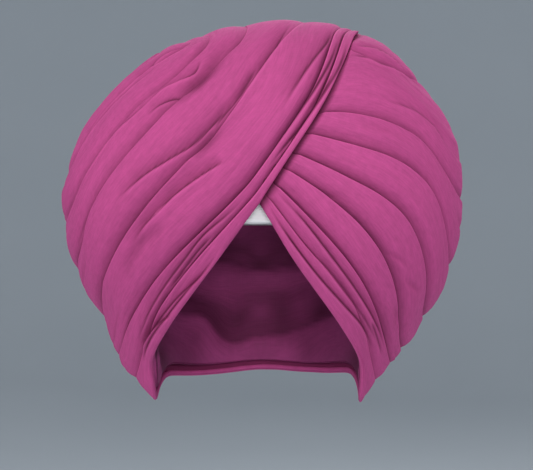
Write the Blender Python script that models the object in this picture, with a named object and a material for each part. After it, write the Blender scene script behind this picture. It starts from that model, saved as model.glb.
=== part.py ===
# A turban wound round a head: a white under-band, a thick inner wrap and eight outer turns.
# Metres, +Z up, -Y to the front. The origin is where the top of the head sits.
import math

import bmesh
import bpy
import numpy as np

# Head hollow
HEAD_WIDTH = 0.152
HEAD_DEPTH = 0.194
HEAD_CROWN = 0.100
HEAD_LOWER = 0.260

# Outside of the finished wrap
WRAP_WIDTH = 0.281
FRONT_DEPTH = 0.132
BACK_DEPTH = 0.152
FULLNESS = 2.2

# The wrap thins towards its lower edge
RIM_SHARE = 0.3
RIM_TAPER = math.radians(40.0)

# Cloth and gaps
TURN_DEPTH = 0.011
TURN_SHARE = 0.5
FOLD_DIP = 0.0045
FOLD_PROUD = 0.0015
SIDE_GAP = 0.0006
TIP_GAP = 0.0018
CORE_GAP = 0.0020
CORE_SETBACK = 0.03
BAND_HEIGHT = 0.045
BAND_DROP = 0.093
BAND_WALL = 0.0015
BAND_GAP = 0.0012

# Mesh steps
STEPS_ALONG = 50
STEPS_ACROSS = 4
CORE_STEPS_ROUND = 48
CORE_STEPS_DOWN = 15
CORE_CROWDING = 1.5
BAND_STEPS_ROUND = 44
BAND_STEPS_DOWN = 3
RIM_STEPS = 240

# How far apart along a patch two points are read to measure its pace.
PROBE = 0.01

CENTRE = np.array((0.0, 0.0, -HEAD_CROWN))

# Radius of the front outline, as shares of half the width, at equal angles about the centre,
# before the wrap thins towards the rim. The first is at the right side, and the rest go up over
# the crown, down the left and under.
OUTLINE = (
    0.998, 1.053, 1.095, 1.113, 1.135, 1.103,
    1.063, 1.043, 1.041, 1.033, 1.028, 1.014,
    0.972, 0.930, 0.930, 1.085, 1.195, 1.200,
    1.180, 1.140, 1.110, 1.025, 0.951, 0.959,
)

# The edge of the last turn, from the notch over the forehead up and round behind the crown.
# Azimuth runs from the front round by the right, and elevation up from the level of the centre.
LAP_EDGE = (
    (0.0, 11.1), (7.6, 21.1), (19.3, 34.5), (30.9, 46.4), (52.4, 59.0),
    (98.0, 64.0), (140.0, 59.0), (180.0, 57.0), (220.0, 59.0), (256.0, 63.0), (282.0, 60.0),
)

# The lower edge: down the right of the face, round the nape and up the left of the face, as
# station, azimuth and elevation.
RIM = (
    (0.0, 0.0, 11.1), (1.0, 13.1, -10.1), (2.0, 35.3, -33.3), (2.4, 56.4, -46.9), (3.0, 81.0, -58.9),
    (4.0, 130.0, -51.0), (5.0, 180.0, -47.0), (6.0, 230.0, -51.0),
    (7.0, 276.4, -57.5), (7.5, 296.4, -46.7), (8.0, 318.5, -34.3), (8.5, 343.1, -11.1), (9.0, 360.0, 11.1),
)

# Folds between the turns, lowest first: share of the lap edge where the fold starts, its way
# down the right, round the back and up the left, and the share where it ends.
FOLDS = (
    (0.020,
     (15.5, -3.5), (35.0, -22.5), (75.5, -50.0),
     (130.0, -47.5), (180.0, -44.0), (230.0, -47.0),
     (280.0, -48.0), (319.0, -26.0), (356.5, 11.5), (378.3, 36.2), (412.6, 61.8),
     0.470),
    (0.042,
     (17.4, 3.8), (35.1, -14.4), (73.7, -42.0),
     (130.0, -43.0), (180.0, -40.0), (230.0, -42.0),
     (281.0, -38.0), (317.4, -18.9), (352.0, 12.5), (376.5, 38.5), (411.0, 66.5),
     0.530),
    (0.071,
     (21.8, 11.0), (37.8, -4.2), (75.8, -37.0),
     (130.0, -35.0), (180.0, -32.0), (230.0, -33.0),
     (288.5, -21.5), (312.0, -5.5), (335.1, 18.9), (354.1, 40.6), (392.0, 71.0),
     0.630),
    (0.099,
     (26.5, 16.4), (44.4, 4.4), (75.6, -24.5),
     (130.0, -25.0), (180.0, -22.0), (230.0, -20.0),
     (290.0, -7.0), (305.0, 5.5), (324.2, 29.8), (339.7, 51.3), (349.5, 70.9),
     0.750),
    (0.132,
     (30.1, 24.3), (51.4, 14.2), (75.0, -8.3),
     (130.0, -10.0), (180.0, -8.0), (230.0, -6.0),
     (287.0, 5.0), (303.0, 18.2), (315.0, 36.0), (327.0, 50.0), (322.0, 67.5),
     0.850),
    (0.165,
     (33.2, 32.5), (50.0, 26.6), (73.8, 10.2),
     (130.0, 8.0), (180.0, 8.0), (230.0, 10.0),
     (281.5, 17.0), (292.0, 28.5), (300.5, 43.5), (309.0, 55.0), (306.0, 66.0),
     0.930),
    (0.301,
     (44.0, 51.5), (55.0, 47.5), (80.0, 42.5),
     (130.0, 34.0), (180.0, 31.0), (230.0, 33.0),
     (264.0, 38.5), (274.0, 43.5), (281.0, 48.5), (286.0, 53.0), (287.0, 57.0),
     1.000),
)
STATIONS = 12

# The first turn's lower edge follows the rim to this station, and these shares of the lap edge
# at the stations after it. The last turn's upper edge follows the lap edge at all its stations.
NOTCH_STATION = 9
FIRST_TURN_LAP = (0.000, 0.165, 0.345, 0.420)
LAST_TURN_LAP = (
    0.325, 0.350, 0.380, 0.440, 0.570, 0.710, 0.850,
    0.900, 0.920, 0.935, 0.950, 0.962, 0.975,
)

# Colours, roughness
MAGENTA = (0.445, 0.078, 0.245, 1.0)
INNER_MAGENTA = (0.300, 0.045, 0.160, 1.0)
WHITE = (0.830, 0.830, 0.850, 1.0)
COTTON_ROUGHNESS = 0.85


def clear_scene():
    for item in list(bpy.data.objects):
        bpy.data.objects.remove(item, do_unlink=True)


def material(name, colour):
    made = bpy.data.materials.new(name)
    made.use_nodes = True
    shader = made.node_tree.nodes["Principled BSDF"]
    shader.inputs["Base Color"].default_value = colour
    shader.inputs["Roughness"].default_value = COTTON_ROUGHNESS
    shader.inputs["Metallic"].default_value = 0.0
    return made


def direction(azimuth, elevation):
    turn, rise = math.radians(azimuth), math.radians(elevation)
    return np.array((
        math.sin(turn) * math.cos(rise),
        -math.cos(turn) * math.cos(rise),
        math.sin(rise),
    ))


def unit(vectors):
    return vectors / np.linalg.norm(vectors, axis=-1, keepdims=True)


def smooth(share):
    share = np.clip(share, 0.0, 1.0)
    return share * share * (3.0 - 2.0 * share)


def cubic(before, start, end, after, share):
    # A curve from start to end, whose slope at each follows the points on both sides of it.
    return 0.5 * (
        2.0 * start
        + (end - before) * share
        + (2.0 * before - 5.0 * start + 4.0 * end - after) * share ** 2
        + (3.0 * start - before - 3.0 * end + after) * share ** 3
    )


class Rail:
    # A smooth curve of directions through a row of stations, read by station number.
    def __init__(self, stations):
        self.points = [np.asarray(point) for point in stations]
        first = 2.0 * self.points[0] - self.points[1]
        last = 2.0 * self.points[-1] - self.points[-2]
        self.padded = [first] + self.points + [last]
        self.spans = len(self.points) - 1

    def at(self, place):
        place = min(max(place, 0.0), float(self.spans))
        low = min(int(place), self.spans - 1)
        around = self.padded[low:low + 4]
        return unit(cubic(*around, place - low))


class Lap:
    # The lap edge, read by its share of length.
    def __init__(self, stations):
        self.rail = Rail(direction(*station) for station in stations)
        self.places = np.linspace(0.0, self.rail.spans, 401)
        points = np.array([self.rail.at(place) for place in self.places])
        steps = np.linalg.norm(np.diff(points, axis=0), axis=1)
        self.length = np.concatenate(((0.0,), np.cumsum(steps)))

    def at(self, share):
        place = np.interp(share * self.length[-1], self.length, self.places)
        return self.rail.at(float(place))


lap = Lap(LAP_EDGE)
rim_stations = [row[0] for row in RIM]
rim_rail = Rail(direction(*row[1:]) for row in RIM)


def rim_at(station):
    return rim_rail.at(float(np.interp(station, rim_stations, range(len(RIM)))))


rim_ways = np.array([rim_at(NOTCH_STATION * step / RIM_STEPS) for step in range(RIM_STEPS)])


def head_radius(way):
    # The head: half an ellipsoid above the centre, and a long, slowly narrowing one below.
    tall = np.where(way[..., 2] > 0.0, HEAD_CROWN, HEAD_LOWER)
    return 1.0 / np.sqrt(
        (way[..., 0] / (HEAD_WIDTH / 2.0)) ** 2
        + (way[..., 1] / (HEAD_DEPTH / 2.0)) ** 2
        + (way[..., 2] / tall) ** 2
    )


def outline_radius(way):
    count = len(OUTLINE)
    place = (np.arctan2(way[..., 2], way[..., 0]) / math.tau * count) % count
    low = np.floor(place).astype(int)
    shares = np.asarray(OUTLINE)
    around = [shares[(low + step) % count] for step in (-1, 0, 1, 2)]
    return WRAP_WIDTH / 2.0 * cubic(*around, place - low)


def rim_taper(way):
    # The share of the full thickness, which swells roundly from the rim inwards.
    nearest = np.clip(way @ rim_ways.T, -1.0, 1.0).max(axis=-1)
    away = np.minimum(np.arccos(nearest) / RIM_TAPER, 1.0)
    return RIM_SHARE + (1.0 - RIM_SHARE) * np.sin(math.pi / 2.0 * away)


def outer_radius(way):
    # The front outline, rounded off to the front and back, and thinned towards the rim.
    flat = way * np.array((1.0, 0.0, 1.0))
    across = np.linalg.norm(flat, axis=-1)
    deep = np.where(way[..., 1] < 0.0, FRONT_DEPTH, BACK_DEPTH)
    full = (
        (across / outline_radius(way)) ** FULLNESS + (np.abs(way[..., 1]) / deep) ** FULLNESS
    ) ** (-1.0 / FULLNESS)
    head = head_radius(way)
    return head + (full - head) * rim_taper(way)


def turn_depth(way):
    return np.minimum(TURN_DEPTH, TURN_SHARE * (outer_radius(way) - head_radius(way)))


def core_radius(way):
    return outer_radius(way) - turn_depth(way) - CORE_GAP


def fold_lift(share, way):
    # Across a turn: it dips in where it comes from under its neighbour nearer the face, swells,
    # and stands proud at its own folded edge.
    dip = -FOLD_DIP * (1.0 - smooth(share / 0.35))
    proud = FOLD_PROUD * smooth((share - 0.4) / 0.5)
    return (dip + proud) * turn_depth(way) / TURN_DEPTH


def add_object(name, mesh_maker, look):
    mesh = bpy.data.meshes.new(name)
    shape = bmesh.new()
    mesh_maker(shape)
    bmesh.ops.recalc_face_normals(shape, faces=shape.faces)
    if shape.calc_volume(signed=True) < 0.0:
        bmesh.ops.reverse_faces(shape, faces=shape.faces)
    shape.to_mesh(mesh)
    shape.free()
    mesh.shade_smooth()
    mesh.set_sharp_from_angle(angle=math.radians(50.0))
    mesh.materials.append(look)
    made = bpy.data.objects.new(name, mesh)
    bpy.context.collection.objects.link(made)
    return made


def slab(shape, steps_along, steps_across, place, closed=False):
    # A flat slab one cell thick, each of whose points is moved to place(along, across, layer).
    bmesh.ops.create_grid(shape, x_segments=steps_along, y_segments=steps_across, size=0.5)
    bmesh.ops.translate(shape, verts=shape.verts, vec=(0.5, 0.5, 0.0))
    if closed:
        for vert in shape.verts:
            turn = math.tau * vert.co.x
            vert.co.x, vert.co.z = math.cos(turn), math.sin(turn)
        bmesh.ops.remove_doubles(shape, verts=shape.verts, dist=1e-5)
    outside = list(shape.verts)
    grown = bmesh.ops.extrude_face_region(shape, geom=list(shape.faces), use_keep_orig=True)
    inside = [item for item in grown["geom"] if isinstance(item, bmesh.types.BMVert)]
    for layer, verts in enumerate((outside, inside)):
        for vert in verts:
            along = vert.co.x
            if closed:
                along = math.atan2(vert.co.z, vert.co.x) / math.tau
            vert.co = place(along, vert.co.y, layer)


def lower_rail(number):
    # The lowest turn's lower edge is the rim as far as the notch, and the lap edge above it.
    if number == 0:
        stations = range(NOTCH_STATION, STATIONS + 1)

        def at(place):
            if place <= NOTCH_STATION:
                return rim_at(place)
            return lap.at(np.interp(place, stations, FIRST_TURN_LAP))

        return at
    start, *stations, end = FOLDS[number - 1]
    rail = Rail([lap.at(start)] + [direction(*way) for way in stations] + [lap.at(end)])
    return rail.at


def crown_rail():
    return lambda place: lap.at(np.interp(place, range(STATIONS + 1), LAST_TURN_LAP))


def lap_shares(number):
    # Where a turn's two edges start and end along the lap edge.
    starts = [0.0] + [fold[0] for fold in FOLDS] + [LAST_TURN_LAP[0]]
    ends = [FIRST_TURN_LAP[-1]] + [fold[-1] for fold in FOLDS] + [LAST_TURN_LAP[-1]]
    return starts[number:number + 2], ends[number:number + 2]


def station_pace():
    # The share of a turn's length at each station, as a mean of all the folds.
    lengths = np.zeros(STATIONS + 1)
    for number in range(1, len(FOLDS) + 1):
        rail = lower_rail(number)
        points = np.array([rail(place) for place in range(STATIONS + 1)])
        lengths[1:] += np.cumsum(np.linalg.norm(np.diff(points, axis=0), axis=1))
    return lengths / lengths[-1]


pace = station_pace()


def turn_patch(number):
    # A patch between a turn's two edges, whose two ends lie along the lap edge.
    low = lower_rail(number)
    high = crown_rail() if number == len(FOLDS) else lower_rail(number + 1)
    starts, ends = lap_shares(number)

    def at(along, across):
        place = float(np.interp(along, pace, range(STATIONS + 1)))
        start = lap.at(starts[0] + (starts[1] - starts[0]) * across)
        end = lap.at(ends[0] + (ends[1] - ends[0]) * across)
        sides = (1.0 - across) * low(place) + across * high(place)
        tips = (1.0 - along) * start + along * end
        corners = (
            (1.0 - along) * ((1.0 - across) * low(0.0) + across * high(0.0))
            + along * ((1.0 - across) * low(STATIONS) + across * high(STATIONS))
        )
        return unit(sides + tips - corners)

    return at


def inset(patch, along, across):
    # Keeps a gap to whatever lies beside the patch, and a wider one beyond its tips.
    radius = outer_radius(patch(along, across))
    width = np.linalg.norm(patch(along, 1.0) - patch(along, 0.0))
    side = SIDE_GAP / radius / width
    near = min(max(along, PROBE), 1.0 - PROBE)
    moved = patch(near + PROBE, across) - patch(near - PROBE, across)
    tip = TIP_GAP / radius * 2.0 * PROBE / np.linalg.norm(moved)
    return patch(tip + (1.0 - 2.0 * tip) * along, side + (1.0 - 2.0 * side) * across)


def add_turn(number, name, look):
    patch = turn_patch(number)

    def place(along, across, layer):
        way = inset(patch, along, across)
        radius = outer_radius(way)
        if layer:
            return CENTRE + way * (radius - turn_depth(way))
        return CENTRE + way * (radius + fold_lift(across, way))

    def build(shape):
        slab(shape, STEPS_ALONG, STEPS_ACROSS, place)

    return add_object(name, build, look)


def add_inner_wrap(look):
    # A ball whose upper half is the outside, and whose lower half is pushed up as the hollow.
    top = unit(direction(0.0, 89.9))
    rows = 2 * CORE_STEPS_DOWN + 1

    def build(shape):
        bmesh.ops.create_uvsphere(
            shape, u_segments=CORE_STEPS_ROUND, v_segments=rows, radius=1.0
        )
        for vert in shape.verts:
            ball = vert.co.normalized()
            row = round(rows * math.acos(max(-1.0, min(1.0, ball.z))) / math.pi)
            outside = row <= CORE_STEPS_DOWN
            down = row / CORE_STEPS_DOWN if outside else (rows - row) / CORE_STEPS_DOWN
            round_share = (math.atan2(ball.y, ball.x) / math.tau) % 1.0
            edge = rim_at(NOTCH_STATION * round_share)
            angle = math.acos(float(np.clip(top @ edge, -1.0, 1.0)))
            down = (1.0 - (1.0 - down) ** CORE_CROWDING) * (1.0 - CORE_SETBACK)
            way = unit(
                math.sin((1.0 - down) * angle) * top + math.sin(down * angle) * edge
            )
            radius = core_radius(way) if outside else head_radius(way)
            vert.co = CENTRE + way * float(radius)

    return add_object("inner_wrap", build, look)


def add_under_band(look):
    low = -BAND_DROP - CENTRE[2]
    high = low + BAND_HEIGHT

    def place(along, across, layer):
        turn = math.tau * along
        rise = low + (high - low) * across
        level = math.sqrt(1.0 - (rise / HEAD_CROWN) ** 2)
        inward = BAND_GAP + BAND_WALL * layer
        return (
            (HEAD_WIDTH / 2.0 * level - inward) * math.cos(turn),
            (HEAD_DEPTH / 2.0 * level - inward) * math.sin(turn),
            CENTRE[2] + rise,
        )

    def build(shape):
        slab(shape, BAND_STEPS_ROUND, BAND_STEPS_DOWN, place, closed=True)

    return add_object("under_band", build, look)


clear_scene()
turn_look = material("magenta_cotton", MAGENTA)
inner_look = material("inner_magenta_cotton", INNER_MAGENTA)
band_look = material("white_cotton", WHITE)
add_under_band(band_look)
add_inner_wrap(inner_look)
for turn_number in range(len(FOLDS) + 1):
    add_turn(turn_number, f"turn_{turn_number + 1}", turn_look)
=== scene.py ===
# A cotton turban shown as it is worn, held up over an open head hollow.
import math

import bmesh
import bpy
import numpy as np
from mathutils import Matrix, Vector


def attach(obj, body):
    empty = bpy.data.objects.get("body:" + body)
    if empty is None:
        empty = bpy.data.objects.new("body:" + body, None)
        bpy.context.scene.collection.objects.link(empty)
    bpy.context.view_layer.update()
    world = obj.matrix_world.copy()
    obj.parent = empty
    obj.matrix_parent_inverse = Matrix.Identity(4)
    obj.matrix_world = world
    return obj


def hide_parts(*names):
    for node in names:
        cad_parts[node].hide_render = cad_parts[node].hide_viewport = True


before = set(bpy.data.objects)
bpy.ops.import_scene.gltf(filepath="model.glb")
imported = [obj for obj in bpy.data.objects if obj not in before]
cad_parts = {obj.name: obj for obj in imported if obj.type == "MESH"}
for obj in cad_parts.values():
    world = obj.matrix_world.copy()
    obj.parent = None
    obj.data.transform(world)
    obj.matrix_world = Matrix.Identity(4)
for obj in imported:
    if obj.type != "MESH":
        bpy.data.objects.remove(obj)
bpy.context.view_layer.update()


# Under-band
# A loop of white cotton tied round the head before the turban goes on. It is one stretched
# strip with a narrow hem along each edge, and only a triangle of it shows over the forehead.
BAND_HEIGHT = 0.045
BAND_DROP = 0.093
BAND_WALL = 0.0015
BAND_GAP = 0.0012
BAND_WRINKLE = 0.0004
BAND_WRINKLE_ROWS = 9.0
BAND_WRINKLES_UP = 5.0
BAND_ROUND = 260
BAND_RING = 36
BAND_EDGE = 0.12
BAND_EDGE_POWER = 14
# The hem and its stitch line, as shares of the band's height.
BAND_HEM = 0.16
BAND_HEM_FADE = 0.02
BAND_HEM_PROUD = 0.0002
STITCH_AT = 0.15
STITCH_HALF = 0.012
# How strong the painted shade along the stitch line is.
STITCH_SHADE = 0.15
# Metres of cloth to a radian round the band, and the shift of the weave on its inside.
BAND_METRES = 0.085
INSIDE_SHIFT = 0.1
HEAD_WIDTH = 0.152
HEAD_DEPTH = 0.194
HEAD_CROWN = 0.100
HEAD_LOWER = 0.260
WHITE = (0.965, 0.960, 0.975, 1.0)
# The colour of the painted shade on the white cotton.
WHITE_PAINTED_SHADE = (0.45, 0.44, 0.47, 1.0)
# Streaks in the yarn: repeats per metre along and across, detail, shift and share.
YARN_STREAKS = (
    (7.0, 150.0, 3.0, 0.0, 0.3),
    (90.0, 900.0, 2.0, 7.0, 0.4),
    (160.0, 240.0, 3.0, 17.0, 0.3),
)
THREADS = 1500.0
THREAD_UNEVEN = 0.07
WEAVE_TINT = 0.15
WEAVE_DEPTH = 0.0003
WEAVE_BUMP = 0.5
WEAVE_MATTE = 0.2
MATTE = 0.80
CRINKLE = (14.0, 110.0, 4.0, 23.0)
CRINKLE_DEPTH = 0.0028
CRINKLE_BUMP = 0.6
# The painted highlight on folded edges: how much lighter than the cloth, and how much of it shows.
EDGE_HIGHLIGHT_GAIN = 1.45
EDGE_HIGHLIGHT_BASE = 0.02
EDGE_HIGHLIGHT_SHARE = 0.75
SHEEN_ROUGHNESS = 0.45
SPECULAR = 0.25
NOISE_TABLE = 64
WELD = 1e-7


class Wire:
    # A value in a finish. Sums, differences and products of values add their Math nodes.
    def __init__(self, finish, output):
        self.finish = finish
        self.output = output

    def __add__(self, other):
        return self.finish.node("ShaderNodeMath", {"operation": "ADD"}, {0: self, 1: other})

    def __sub__(self, other):
        return self.finish.node("ShaderNodeMath", {"operation": "SUBTRACT"}, {0: self, 1: other})

    def __rsub__(self, other):
        return self.finish.node("ShaderNodeMath", {"operation": "SUBTRACT"}, {0: other, 1: self})

    def __mul__(self, other):
        return self.finish.node("ShaderNodeMath", {"operation": "MULTIPLY"}, {0: self, 1: other})

    __radd__ = __add__
    __rmul__ = __mul__


class Finish:
    # A material under work, with its Principled shader ready.
    def __init__(self, name):
        self.made = bpy.data.materials.new(name)
        self.made.use_nodes = True
        self.nodes = self.made.node_tree.nodes
        self.links = self.made.node_tree.links
        self.shader = self.nodes["Principled BSDF"]

    def put(self, socket, value):
        if isinstance(value, Wire):
            self.links.new(value.output, socket)
        else:
            socket.default_value = value

    def node(self, kind, settings, inputs, output=0):
        item = self.nodes.new(kind)
        for setting, value in settings.items():
            setattr(item, setting, value)
        for socket, value in inputs.items():
            self.put(item.inputs[socket], value)
        return Wire(self, item.outputs[output])

    def cloth_place(self, along, across, shift=0.0):
        # Metres along and across the cloth, each times its own number of repeats.
        place = self.node(
            "ShaderNodeAttribute",
            {"attribute_type": "GEOMETRY", "attribute_name": "cloth"}, {}, "Vector"
        )
        return self.node(
            "ShaderNodeVectorMath", {"operation": "MULTIPLY_ADD"},
            {0: place, 1: (along, across, 1.0), 2: (shift, shift, shift)}
        )

    def grain(self, along, across, detail=1.0, shift=0.0):
        # Noise about a half, in streaks set by the repeats per metre along and across.
        return self.node(
            "ShaderNodeTexNoise", {"noise_dimensions": "3D"},
            {"Vector": self.cloth_place(along, across, shift), "Scale": 1.0,
             "Detail": detail, "Roughness": 0.5},
            "Fac"
        )

    def blend(self, share, low, high):
        return self.node(
            "ShaderNodeMix", {"data_type": "RGBA", "blend_type": "MIX"},
            {0: share, 6: low, 7: high}, 2
        )

    def bump(self, height, distance, strength, below=None):
        inputs = {"Height": height, "Distance": distance, "Strength": strength}
        if below is not None:
            inputs["Normal"] = below
        return self.node("ShaderNodeBump", {}, inputs)

    def weave(self, threads):
        # Threads both ways, each a little uneven along its length.
        warp = self.grain(threads * THREAD_UNEVEN, threads, shift=3.0)
        weft = self.grain(threads, threads * THREAD_UNEVEN, shift=11.0)
        return warp + weft


def cotton(name, light, painted_shade, sheen, change):
    # Plain woven cotton: uneven yarn, a fine weave, small crinkles and soft fibres that catch
    # light at the edges. It has painted shade in creases and a painted highlight on folded edges.
    look = Finish(name)
    streaks = 0.0
    for along, across, detail, shift, share in YARN_STREAKS:
        streaks = look.grain(along, across, detail, shift) * share + streaks
    weave = look.weave(THREADS)
    yarn = streaks + (weave - 1.0) * WEAVE_TINT
    faded = tuple(share * (1.0 - change) for share in light[:3]) + (1.0,)
    bright = tuple(min(1.0, share * (1.0 + change)) for share in light[:3]) + (1.0,)
    cloth = look.blend(yarn, faded, bright)
    painted_shading = look.node(
        "ShaderNodeAttribute",
        {"attribute_type": "GEOMETRY", "attribute_name": "painted_shading"}, {}, "Vector"
    )
    crease = look.node("ShaderNodeSeparateXYZ", {}, {0: painted_shading}, 0)
    fold = look.node("ShaderNodeSeparateXYZ", {}, {0: painted_shading}, 1)
    # Painted highlight: the cloth is made lighter along folded edges.
    edge = tuple(min(1.0, share * EDGE_HIGHLIGHT_GAIN + EDGE_HIGHLIGHT_BASE) for share in light[:3]) + (1.0,)
    cloth = look.blend(fold * EDGE_HIGHLIGHT_SHARE, cloth, edge)
    # Painted shade: the cloth is darkened towards the shade colour in creases.
    look.put(look.shader.inputs["Base Color"], look.blend(crease, cloth, painted_shade))
    crinkle = look.bump(look.grain(*CRINKLE), CRINKLE_DEPTH, CRINKLE_BUMP)
    fine = look.bump(weave, WEAVE_DEPTH, WEAVE_BUMP, crinkle)
    look.put(look.shader.inputs["Normal"], fine)
    look.put(look.shader.inputs["Roughness"], MATTE + (weave - 1.0) * WEAVE_MATTE)
    look.shader.inputs["Sheen Weight"].default_value = sheen
    look.shader.inputs["Sheen Roughness"].default_value = SHEEN_ROUGHNESS
    look.shader.inputs["Sheen Tint"].default_value = bright
    look.shader.inputs["Specular IOR Level"].default_value = SPECULAR
    return look.made


def smooth(share):
    share = np.clip(share, 0.0, 1.0)
    return share * share * (3.0 - 2.0 * share)


def ripple(seed, along, across):
    # Smooth noise from -1 to 1, about one swell to each unit both ways.
    table = np.random.default_rng(seed).uniform(-1.0, 1.0, (NOISE_TABLE, NOISE_TABLE))
    column, row = np.floor(along).astype(int), np.floor(across).astype(int)
    right, up = smooth(along - column), smooth(across - row)

    def level(row):
        before = table[column % NOISE_TABLE, row % NOISE_TABLE]
        after = table[(column + 1) % NOISE_TABLE, row % NOISE_TABLE]
        return before * (1.0 - right) + after * right

    return level(row) * (1.0 - up) + level(row + 1) * up


def set_cloth(shape, points, cloth, painted_shading):
    # Places every point, with its metres along and across the cloth, and its painted shading:
    # painted shade for how deep in a crease it is, and a painted highlight for how near a folded
    # edge.
    cloth_layer = shape.verts.layers.float_vector.new("cloth")
    shading_layer = shape.verts.layers.float_vector.new("painted_shading")
    rows = zip(shape.verts, points.tolist(), cloth.tolist(), painted_shading.tolist())
    for vert, point, spot, shading in rows:
        vert.co = point
        vert[cloth_layer] = Vector(spot)
        vert[shading_layer] = Vector(shading)


def cloth_piece(name, shape, look):
    # Turns every face outwards and makes the finished piece.
    bmesh.ops.recalc_face_normals(shape, faces=shape.faces)
    if shape.calc_volume(signed=True) < 0.0:
        bmesh.ops.reverse_faces(shape, faces=shape.faces)
    mesh = bpy.data.meshes.new(name)
    shape.to_mesh(mesh)
    shape.free()
    mesh.shade_smooth()
    mesh.materials.append(look)
    piece = bpy.data.objects.new(name, mesh)
    bpy.context.collection.objects.link(piece)
    return piece


def cloth_ring(name, rows, ring, place, look, loop=False):
    # A grid rolled into a flat tube of cloth, whose rows run along it. place gives every
    # point from its row and its step round the tube, with its cloth place and its painted shading.
    shape = bmesh.new()
    bmesh.ops.create_grid(shape, x_segments=rows, y_segments=ring, size=0.5)
    spots = np.array([vert.co[:] for vert in shape.verts])
    row = np.rint((spots[:, 0] + 0.5) * rows).astype(int)
    step = np.rint((spots[:, 1] + 0.5) * ring).astype(int)
    points, cloth, painted_shading = place(row % rows if loop else row, step % ring)
    set_cloth(shape, points, cloth, painted_shading)
    bmesh.ops.remove_doubles(shape, verts=shape.verts, dist=WELD)
    open_edges = [edge for edge in shape.edges if edge.is_boundary]
    if open_edges:
        bmesh.ops.holes_fill(shape, edges=open_edges, sides=0)
    area = sum(face.calc_area() for face in shape.faces)
    return cloth_piece(name, shape, look), area


def band_place(row, step):
    # Round a flat loop: up the outside, over, and down the inside, half round at both edges.
    turn = math.tau * row / BAND_ROUND
    share = step / BAND_RING
    outside = share < 0.5
    up = np.where(outside, share * 2.0, 2.0 - share * 2.0)
    near_edge = np.clip(np.abs(up * 2.0 - 1.0) * (1.0 + BAND_EDGE) - BAND_EDGE, 0.0, 1.0)
    edge = np.sqrt(1.0 - near_edge ** BAND_EDGE_POWER)
    rise = HEAD_CROWN - BAND_DROP + BAND_HEIGHT * up
    level = np.sqrt(1.0 - (rise / HEAD_CROWN) ** 2)
    half = BAND_WALL / 2.0 * edge * np.where(outside, 1.0, -1.0)
    wave = BAND_WRINKLE * ripple(5, row / BAND_WRINKLE_ROWS, up * BAND_WRINKLES_UP)
    low_hem = smooth((BAND_HEM - up) / BAND_HEM_FADE)
    high_hem = smooth((up - (1.0 - BAND_HEM)) / BAND_HEM_FADE)
    hem = BAND_HEM_PROUD * (low_hem + high_hem) * outside
    inward = BAND_GAP + BAND_WALL / 2.0 - half - wave - hem
    points = np.stack((
        (HEAD_WIDTH / 2.0 * level - inward) * np.cos(turn),
        (HEAD_DEPTH / 2.0 * level - inward) * np.sin(turn),
        rise - HEAD_CROWN,
    ), axis=1)
    cloth = np.stack((turn * BAND_METRES, rise + INSIDE_SHIFT * ~outside, 0.0 * turn), axis=1)
    # A thin grey line of painted shade along the stitching of the lower hem, on the outside.
    stitch_shade = STITCH_SHADE * (np.abs(up - STITCH_AT) < STITCH_HALF) * outside
    return points, cloth, np.stack((stitch_shade, 0.0 * turn, 0.0 * turn), axis=1)


white_look = cotton("white_cotton_finish", WHITE, WHITE_PAINTED_SHADE, sheen=0.1, change=0.05)
band = cloth_ring("under_band_cloth", BAND_ROUND, BAND_RING, band_place, white_look, True)[0]
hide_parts("under_band")
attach(band, "root")


# Inner wrap
# The many inner turns of the same cotton, wound tightly round the head one over another. They
# show only in the hollow, as flat bands that climb round it and cross at the front.
WRAP_WIDTH = 0.281
FRONT_DEPTH = 0.132
BACK_DEPTH = 0.152
FULLNESS = 2.2
RIM_SHARE = 0.3
RIM_TAPER = math.radians(40.0)
TURN_DEPTH = 0.011
TURN_SHARE = 0.5
CORE_GAP = 0.0020
CORE_SETBACK = 0.012
CORE_CROWDING = 1.5
# Shares of the way down to the rim: where the wrap starts to close the space behind the turns,
# over how much, and how much of it, and where its own edge starts to round off.
CLOSE_START = 0.86
CLOSE_RUN = 0.08
CLOSE_SHARE = 0.72
BLUNT_START = 0.97
BLUNT_RUN = 0.03
CORE_ROUND = 240
CORE_DOWN = 62
RIM_POINTS = 300
# Bands in the hollow: how many, how far they climb to the back, and how they wander.
INNER_BANDS = 7.0
BAND_CLIMB = 1.2
BAND_WANDER = 0.12
WANDER_REPEATS = 5.0
INNER_FOLD = 0.0013
FOLD_RISE = 0.85
FOLD_DROP = 0.9
FOLD_DROP_RUN = 0.1
FOLD_LIMIT = 0.3
INNER_WRINKLE = 0.0005
WRINKLES_ACROSS = 7.0
WRINKLES_PER_BAND = 5.0
# How much painted shade lies in the folds of the inner bands.
INNER_SHADE_SHARE = 0.55
# Metres of cloth to half a round, and to a band.
HALF_ROUND = 0.3
BAND_PITCH = 0.035
CENTRE = np.array((0.0, 0.0, -HEAD_CROWN))
# The inner turns have a darker magenta than the outer ones as painted shade for the hollow, and a
# darker colour still for the painted shade in their folds.
SHADED_INNER_MAGENTA = (0.330, 0.045, 0.170, 1.0)
INNER_PAINTED_SHADE = (0.055, 0.002, 0.022, 1.0)
# Radius of the front outline, as shares of half the width, at equal angles about the centre.
# The first is at the right side, and the rest go up over the crown, down the left and under.
OUTLINE = (
    0.998, 1.053, 1.095, 1.113, 1.135, 1.103,
    1.063, 1.043, 1.041, 1.033, 1.028, 1.014,
    0.972, 0.930, 0.930, 1.085, 1.195, 1.200,
    1.180, 1.140, 1.110, 1.025, 0.951, 0.959,
)
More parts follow.
